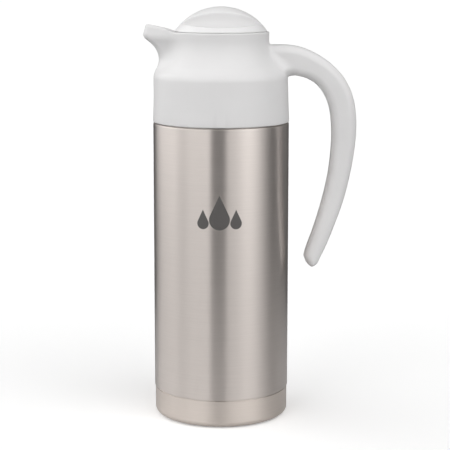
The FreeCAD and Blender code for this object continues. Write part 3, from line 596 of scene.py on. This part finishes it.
def drop_mask(n, across, up, shape):
    """1 inside one drop: a circle with the cone that touches it above."""
    centre_x, centre_z, radius, tip = shape
    x = n.calc("SUBTRACT", across, centre_x)
    z = n.calc("SUBTRACT", up, centre_z)
    squared = n.calc("ADD", n.calc("MULTIPLY", x, x), n.calc("MULTIPLY", z, z))
    round_end = n.calc("SUBTRACT", radius, n.calc("SQRT", squared))
    lean = radius / tip
    stand = math.sqrt(1 - lean ** 2)
    flank = n.calc("SUBTRACT", n.calc("MULTIPLY", n.calc("SUBTRACT", tip, z), lean),
                   n.calc("MULTIPLY", n.calc("ABSOLUTE", x), stand))
    cone = n.calc("MINIMUM", flank, n.calc("SUBTRACT", z, radius * lean))
    depth = n.calc("MAXIMUM", round_end, cone)
    return n.spread(depth, -MARK_SOFT, MARK_SOFT, 0.0, 1.0)


def print_mark(n, x, y, z):
    """Lay the drops over the finished steel as matt dark ink."""
    across = n.calc("MULTIPLY", n.calc("ARCTAN2", x, n.calc("MULTIPLY", y, -1.0)), BODY_R * MM)
    across = n.calc("SUBTRACT", across, MARK_X)
    up = n.calc("SUBTRACT", z, MARK_Z)
    mark = 0.0
    for shape in DROPS:
        mark = n.calc("MAXIMUM", mark, drop_mask(n, across, up, shape))
    ink = n.calc("MULTIPLY", mark, INK_SHARE)
    for name, value in INK:
        socket = n.shader.inputs[name]
        under = socket.links[0].from_socket if socket.links else socket.default_value
        if name == "Base Color":
            n.put(socket, n.mix(ink, under, value))
        else:
            node = n.add("ShaderNodeMix")
            n.put(node.inputs[0], ink)
            n.put(node.inputs[2], under)
            n.put(node.inputs[3], value)
            n.put(socket, node.outputs[0])


# Scratches run round the axis: metres to a radian, then how each of the two noises is
# stretched along and across them, and its share.
SCRATCH_RUN = 0.052
FINE_STRETCH, FINE_SHARE = (1.0, 150.0, 1.0), 0.65
BROAD_STRETCH, BROAD_SHARE = (0.6, 26.0, 1.0), 0.35


def brushed(name, colour, rough, fine, drawn=1.0, printed=False):
    """Steel brushed round the axis: long fine scratches and a highlight drawn out upright."""
    n = Finish(name)
    x, y, z = n.split(n.place())
    joined = n.add("ShaderNodeCombineXYZ")
    n.join(n.calc("MULTIPLY", n.calc("ARCTAN2", y, x), SCRATCH_RUN), joined.inputs[0])
    n.join(z, joined.inputs[1])
    unrolled = joined.outputs[0]
    lines = n.noise(n.stretched(unrolled, FINE_STRETCH), fine, 4.0, 0.65)
    broad = n.noise(n.stretched(unrolled, BROAD_STRETCH), fine * 0.5, 3.0, 0.6)
    both = n.calc("ADD", n.calc("MULTIPLY", lines, FINE_SHARE),
                  n.calc("MULTIPLY", broad, BROAD_SHARE))
    n.tint(both, colour, 0.93, 1.04)
    n.roughen(both, rough - 0.03, rough + 0.05)
    n.set(Metallic=1.0, Anisotropic=drawn, Anisotropic_Rotation=0.25)
    tangent = n.add("ShaderNodeTangent", direction_type="RADIAL", axis="Z")
    n.join(tangent.outputs[0], n.shader.inputs["Tangent"])
    n.bump(lines, 0.10, 0.00002)
    if printed:
        print_mark(n, x, y, z)
    return n.material


def plain_metal(name, colour, rough, scale=900.0):
    """Metal with a fine even grain."""
    n = Finish(name)
    grain = n.noise(n.place(), scale, 3.0)
    n.tint(grain, colour, 0.88)
    n.roughen(grain, rough - 0.05, rough + 0.08)
    n.set(Metallic=1.0)
    n.bump(grain, 0.1, 0.00004)
    return n.material


def rubbery(name, colour, rough, milk=0.0):
    """Rubber, silicone or foam with a matt skin; milk lets light into it."""
    n = Finish(name)
    grain = n.noise(n.place(), 1600.0, 3.0)
    n.tint(grain, colour, 0.9)
    n.roughen(grain, rough - 0.06, rough + 0.06)
    n.set(Subsurface_Weight=milk, Subsurface_Radius=(0.002, 0.002, 0.002))
    n.bump(grain, 0.2, 0.00005)
    return n.material


# Each: name, colour, roughness, and after them for brushed steel its scratches in a metre and
# how far its highlight is drawn out, for silicone its milkiness, for foil its grain's scale.
white = plastic("white_plastic", (0.775, 0.768, 0.768), 0.42)
# The cap gets a lighter copy of the collar's white plastic: painted light for its better-lit
# domed top.
cap_white_painted_lighter = plastic("cap_plastic_painted_lighter", (0.83, 0.825, 0.825), 0.40)
white_stopper = plastic("stopper_plastic", (0.75, 0.745, 0.74), 0.40)
cup_steel = brushed("cup_steel", (0.665, 0.602, 0.555), 0.42, 60.0, 0.7)
printed_steel = brushed("printed_steel", (0.66, 0.606, 0.572), 0.36, 60.0, printed=True)
liner_steel = brushed("inner_steel", (0.66, 0.65, 0.64), 0.22, 40.0)
silicone = rubbery("silicone", (0.78, 0.78, 0.76), 0.5, 0.2)
pad_rubber = rubbery("pad_rubber", (0.10, 0.10, 0.105), 0.75)
foil = plain_metal("foil", (0.80, 0.80, 0.80), 0.25, 300.0)
getter = plain_metal("getter", (0.20, 0.20, 0.21), 0.7)
braze = plain_metal("braze", (0.60, 0.55, 0.42), 0.35)
foam = rubbery("foam", (0.85, 0.84, 0.78), 0.9)


def dress(node, material):
    """Give a CAD node its material."""
    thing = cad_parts[node]
    if not thing.material_slots:
        thing.data.materials.append(material)
    for place in thing.material_slots:
        place.material = material


for node, material in (
        ("base_pad", pad_rubber), ("base_cup", cup_steel),
        ("inner_liner", liner_steel), ("liner_bottom", liner_steel),
        ("vacuum_bottom", liner_steel), ("vacuum_seal", braze), ("radiation_foil", foil),
        ("getter_pellet", getter), ("getter_clip", liner_steel),
        ("retaining_ring", liner_steel), ("neck_gasket", silicone),
        ("stopper_body", white_stopper), ("stopper_base", white_stopper),
        ("stopper_insulation", foam), ("main_seal", silicone), ("upper_seal", silicone)):
    dress(node, material)


# ---------------------------------------------------------------- pieces

def finish_piece(piece, material, body, node):
    """Give a piece its material and let it stand for a CAD node."""
    piece.data.materials.append(material)
    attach(piece, body)
    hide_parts(node)


def lathe(name, outline, turns=192, sharp=35.0):
    """Closed wall turned round the axis from an outline given in millimetres."""
    rim = rounded_outline(outline)
    around = np.linspace(0, 2 * np.pi, turns, endpoint=False)
    points = [(r * math.cos(a) * MM, r * math.sin(a) * MM, z * MM)
              for a in around for r, z in rim]
    count = len(rim)
    faces = []
    for i in range(turns):
        here, there = i * count, (i + 1) % turns * count
        for j in range(count):
            k = (j + 1) % count
            faces.append((here + j, there + j, there + k, here + k))
    mesh = bpy.data.meshes.new(name)
    mesh.from_pydata(points, [], faces)
    mesh.validate()
    mesh.shade_smooth()
    mesh.set_sharp_from_angle(angle=math.radians(sharp))
    piece = bpy.data.objects.new(name, mesh)
    bpy.context.scene.collection.objects.link(piece)
    return piece


# The shell's wall, up its outside and down its inside: (radius, height, corner radius). A
# groove over the cup and a step under the collar have rounded turned-in edges.
SHELL_WALL, GROOVE_TOP, STEP_Z, NECK_R = 0.5, 22.2, 229.15, 33.0
SHELL = ((BODY_R - 1.0, SHELL_LOW, 0), (BODY_R - 1.0, 22.0, 0), (BODY_R, GROOVE_TOP, 0.5),
         (BODY_R, STEP_Z, 1.2), (50.0, 229.2, 0), (50.0, 243.0, 12), (NECK_R, 262.0, 9),
         (NECK_R, SHELL_TOP, 0), (NECK_R - SHELL_WALL, SHELL_TOP, 0),
         (NECK_R - SHELL_WALL, 261.7, 9.5), (49.5, 242.7, 11.5), (49.5, 228.8, 0),
         (BODY_R - SHELL_WALL, 228.8, 0.7), (BODY_R - SHELL_WALL, 22.7, 0),
         (BODY_R - 1.5, 22.5, 0), (BODY_R - 1.5, SHELL_LOW, 0))

COLLAR_BOX, COLLAR_PITCH = ((-62, -56, 112), (108, 56, 308)), 0.62
COLLAR_FACES = 190000
CAP_BOX, CAP_PITCH = ((-38, -38, 296), (38, 38, 320)), 0.4
STRIP_BOX, STRIP_PITCH = ((60, -8, 128), (90, 8, 258)), 0.45

shell = lathe("turned_shell", SHELL)
finish_piece(shell, printed_steel, "vessel", "outer_shell")

collar = field_mesh("collar_with_beak_and_handle", collar_field, *COLLAR_BOX, COLLAR_PITCH)
thin_out(collar, COLLAR_FACES)
finish_piece(collar, white, "vessel", "shoulder_collar")

cap = field_mesh("domed_cap", cap_field, *CAP_BOX, CAP_PITCH)
finish_piece(cap, cap_white_painted_lighter, "stopper", "stopper_cap")

strip = field_mesh("handle_cover_strip", cover_field, *STRIP_BOX, STRIP_PITCH)
finish_piece(strip, white, "vessel", "handle_cover")


# ---------------------------------------------------------------- studio

# Tall diffusers stand round the object, with a dark gap where the camera looks through.
# Each: left azimuth and its softness, right azimuth and its softness, in degrees rightwards
# from the camera's side, and strength.
DIFFUSERS = (
    (-140.0, 20.0, -73.0, 14.0, 1.95),
    (-69.0, 14.0, -18.0, 4.0, 1.90),
    (9.0, 4.0, 84.0, 18.0, 1.36),
    (34.0, 16.0, 64.0, 14.0, 0.85),
    (100.0, 14.0, 150.0, 14.0, 0.24),
)
# Elevation where they end, and the light that comes from overhead and from all round.
DIFFUSER_TOP, DIFFUSER_FADE = 50.0, 12.0
CEILING_START, CEILING_FULL, CEILING = 38.0, 64.0, 0.15
SURROUND = 0.13

# One more hangs above the camera, rather to the right: its sides, its lower and upper edge.
TOP_LEFT, TOP_RIGHT, TOP_LOW, TOP_HIGH = -30.0, 104.0, 34.0, 80.0
TOP_SOFT, TOP_LIGHT = 9.0, 0.62


def make_world():
    """Light that falls on the object, by direction."""
    world = bpy.data.worlds.new("studio")
    bpy.context.scene.world = world
    world.use_nodes = True
    n = Nodes(world.node_tree)
    x, y, z = n.split(n.add("ShaderNodeTexCoord").outputs["Generated"])
    azimuth = n.calc("DEGREES", n.calc("ARCTAN2", x, n.calc("MULTIPLY", y, -1.0)))
    elevation = n.calc("DEGREES", n.calc("ARCSINE", z))
    upright = n.spread(elevation, DIFFUSER_TOP - DIFFUSER_FADE, DIFFUSER_TOP + DIFFUSER_FADE,
                       1.0, 0.0, "SMOOTHSTEP")
    light = n.calc("ADD", SURROUND, n.spread(
        elevation, CEILING_START, CEILING_FULL, 0.0, CEILING, "SMOOTHSTEP"))
    for low, low_soft, high, high_soft, strength in DIFFUSERS:
        panel = n.calc("MULTIPLY", upright, n.between(azimuth, low, low_soft, high, high_soft))
        light = n.calc("ADD", light, n.calc("MULTIPLY", panel, strength))
    above = n.calc("MULTIPLY", n.between(azimuth, TOP_LEFT, TOP_SOFT, TOP_RIGHT, TOP_SOFT),
                   n.between(elevation, TOP_LOW, TOP_SOFT, TOP_HIGH, TOP_SOFT))
    light = n.calc("ADD", light, n.calc("MULTIPLY", above, TOP_LIGHT))
    back = world.node_tree.nodes["Background"]
    back.inputs["Color"].default_value = (1, 1, 1, 1)
    n.join(light, back.inputs["Strength"])


def stage_piece(name, grey, to_camera, glow=0.0):
    """The last made object becomes part of the stage, seen by the camera or by the light."""
    n = Finish(name)
    n.set(Base_Color=(grey, grey, grey, 1), Roughness=0.9, Specular_IOR_Level=0.0,
          Emission_Color=(1, 1, 1, 1), Emission_Strength=glow)
    piece = bpy.context.object
    piece.name = name
    piece.data.materials.append(n.material)
    piece.visible_camera = to_camera
    piece.visible_diffuse = not to_camera
    piece.visible_glossy = not to_camera
    piece.visible_transmission = not to_camera
    piece.visible_shadow = not to_camera


# The camera sees one wide white floor and a white backdrop; the light sees a small pale table
# in a dark room, each a little lower.
FLOOR_SIZE, TABLE_RADIUS, BACKDROP_RADIUS = 80.0, 0.34, 38.4
TABLE_Z, ROOM_Z = -0.001, -0.01
FLOOR_PALE, TABLE_PALE, ROOM_PALE = 0.90, 0.68, 0.12
FLOOR_GLOW = 0.20


def make_stage():
    bpy.ops.mesh.primitive_plane_add(size=FLOOR_SIZE, location=(0, 0, 0))
    stage_piece("studio_floor", FLOOR_PALE, True, FLOOR_GLOW)
    bpy.ops.mesh.primitive_circle_add(
        vertices=64, radius=TABLE_RADIUS, fill_type="NGON", location=(0, 0, TABLE_Z))
    stage_piece("studio_table", TABLE_PALE, False)
    bpy.ops.mesh.primitive_plane_add(size=FLOOR_SIZE, location=(0, 0, ROOM_Z))
    stage_piece("studio_room", ROOM_PALE, False)
    bpy.ops.mesh.primitive_uv_sphere_add(segments=48, ring_count=24, radius=BACKDROP_RADIUS)
    stage_piece("studio_backdrop", 0.0, True, 1.0)


# The camera looks slightly down on the object: metres, degrees, and picture widths for its
# lens and shift.
CAMERA_DISTANCE, CAMERA_HEIGHT = 1.147, 0.352
CAMERA_PITCH = 9.03
CAMERA_SHIFT = (0.0087, -0.06)
LENS_IN_FRAMES = 3.322
SENSOR = 36.0


def make_camera():
    data = bpy.data.cameras.new("camera")
    camera = bpy.data.objects.new("camera", data)
    bpy.context.scene.collection.objects.link(camera)
    data.sensor_width = SENSOR
    data.lens = LENS_IN_FRAMES * SENSOR
    data.shift_x, data.shift_y = CAMERA_SHIFT
    data.clip_start, data.clip_end = 0.05, 200
    camera.location = (0, -CAMERA_DISTANCE, CAMERA_HEIGHT)
    camera.rotation_euler = (math.radians(90 - CAMERA_PITCH), 0, 0)
    bpy.context.scene.camera = camera


bpy.context.scene.view_settings.view_transform = "Standard"
make_world()
make_stage()
make_camera()
